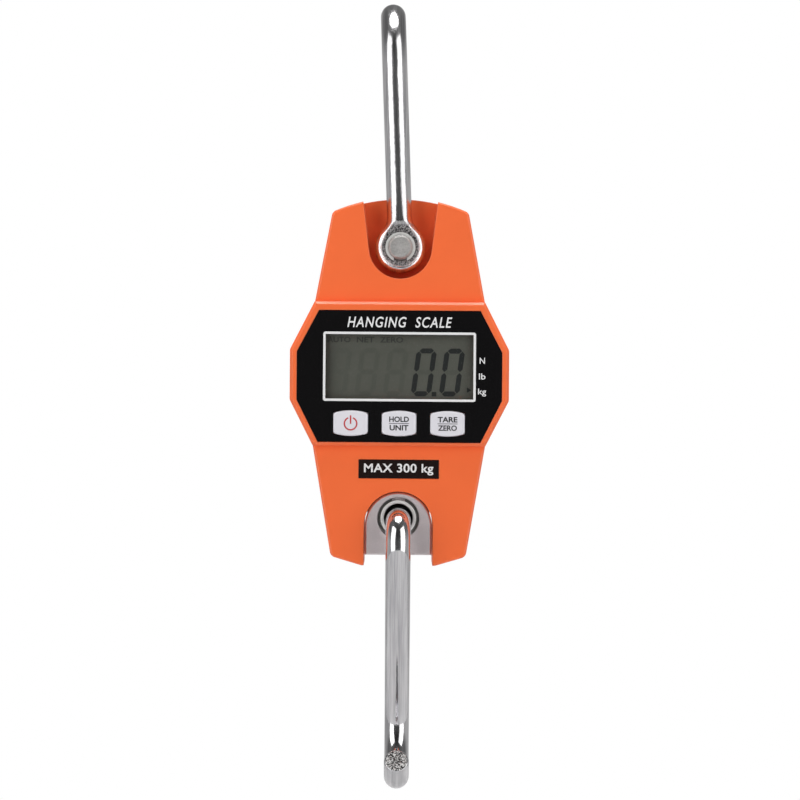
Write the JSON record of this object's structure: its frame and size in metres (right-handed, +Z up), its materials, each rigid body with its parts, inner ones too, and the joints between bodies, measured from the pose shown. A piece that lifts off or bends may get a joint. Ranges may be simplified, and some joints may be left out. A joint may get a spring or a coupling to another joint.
{
  "type": "hanging digital scale",
  "caption": "Hanging digital scale: shells round a slotted load cell, a display with keys, a sliding battery door, and a steel hook above and below.",
  "frame": {"origin": "the upper hook's seat: the inside top of its bowl, in the middle of the bar, where the scale hangs", "axes": "+Z up, along the pull; the display faces -Y; +X is to the right of someone who reads the display"},
  "size_m": [0.07, 0.0422, 0.2536],
  "materials": {
    "hook_steel": "bright plated, forged",
    "pin_steel": "dull turned",
    "spacer_brass": "turned",
    "bush_steel": "polished",
    "plain_steel": "plain",
    "case_orange": "satin, fine texture",
    "cell_aluminium": "bead blasted",
    "gauge_foil": "foil",
    "screw_steel": "zinc plated",
    "overlay_black": "printed film",
    "window_clear": "clear",
    "display_grey": "liquid crystal",
    "holder_white": "moulded",
    "backlight_white": "diffuser",
    "strip_rubber": "striped",
    "board_green": "solder mask",
    "chip_black": "moulded",
    "component_tin": "tinned",
    "key_grey": "soft touch",
    "plunger_black": "moulded",
    "switch_black": "moulded",
    "label_black": "printed",
    "battery_jacket": "shrink sleeve",
    "contact_nickel": "nickel plated",
    "lead_red": "insulated wire",
    "lead_black": "insulated wire",
    "lead_grey": "insulated cable"
  },
  "bodies": {
    "hanger": {"upper_hook": "hook_steel"},
    "scale": {"hook_pin": "pin_steel", "hook_spacer": "spacer_brass", "lower_bush": "bush_steel", "pin_snap_ring": "plain_steel", "bush_snap_ring": "plain_steel", "front_case": "case_orange", "rear_case": "case_orange", "load_cell": "cell_aluminium", "strain_gauges": "gauge_foil", "case_screws": "screw_steel", "cell_screws": "screw_steel", "board_screws": "screw_steel", "display_overlay": "overlay_black", "display_window": "window_clear", "display_glass": "display_grey", "display_holder": "holder_white", "backlight": "backlight_white", "contact_strips": "strip_rubber", "main_board": "board_green", "controller_chip": "chip_black", "amplifier_chip": "chip_black", "board_components": "component_tin", "tact_switches": "switch_black", "capacity_label": "label_black", "upper_battery": "battery_jacket", "middle_battery": "battery_jacket", "lower_battery": "battery_jacket", "contact_plates": "contact_nickel", "battery_springs": "contact_nickel", "positive_lead": "lead_red", "negative_lead": "lead_black", "cell_lead": "lead_grey"},
    "load_hook": {"lower_hook": "hook_steel", "hook_washer": "plain_steel", "hook_snap_ring": "plain_steel"},
    "power_button": {"power_key": "key_grey", "power_plunger": "plunger_black"},
    "hold_button": {"hold_key": "key_grey", "hold_plunger": "plunger_black"},
    "tare_button": {"tare_key": "key_grey", "tare_plunger": "plunger_black"},
    "door": {"battery_door": "case_orange"}
  },
  "joints": [
    {"name": "case_swing", "type": "hinge", "parent": "hanger", "child": "scale", "pos_m": [0.00273, 0, -0.07105], "axis": [0, 1, 0], "range_deg": [-26, 22]},
    {"name": "lower_hook_swing", "type": "hinge", "parent": "scale", "child": "load_hook", "pos_m": [0.00273, 0, -0.1583], "axis": [0, 1, 0], "range_deg": [-22, 22]},
    {"name": "power_press", "type": "slide", "parent": "scale", "child": "power_button", "axis": [0, 1, 0], "range_m": [0, 0.0005], "stiffness_N_per_m": 800, "springref_m": -0.0005},
    {"name": "hold_press", "type": "slide", "parent": "scale", "child": "hold_button", "axis": [0, 1, 0], "range_m": [0, 0.0005], "stiffness_N_per_m": 800, "springref_m": -0.0005},
    {"name": "tare_press", "type": "slide", "parent": "scale", "child": "tare_button", "axis": [0, 1, 0], "range_m": [0, 0.0005], "stiffness_N_per_m": 800, "springref_m": -0.0005},
    {"name": "battery_door_slide", "type": "slide", "parent": "scale", "child": "door", "axis": [0, 0, -1], "range_m": [0, 0.045]}
  ]
}
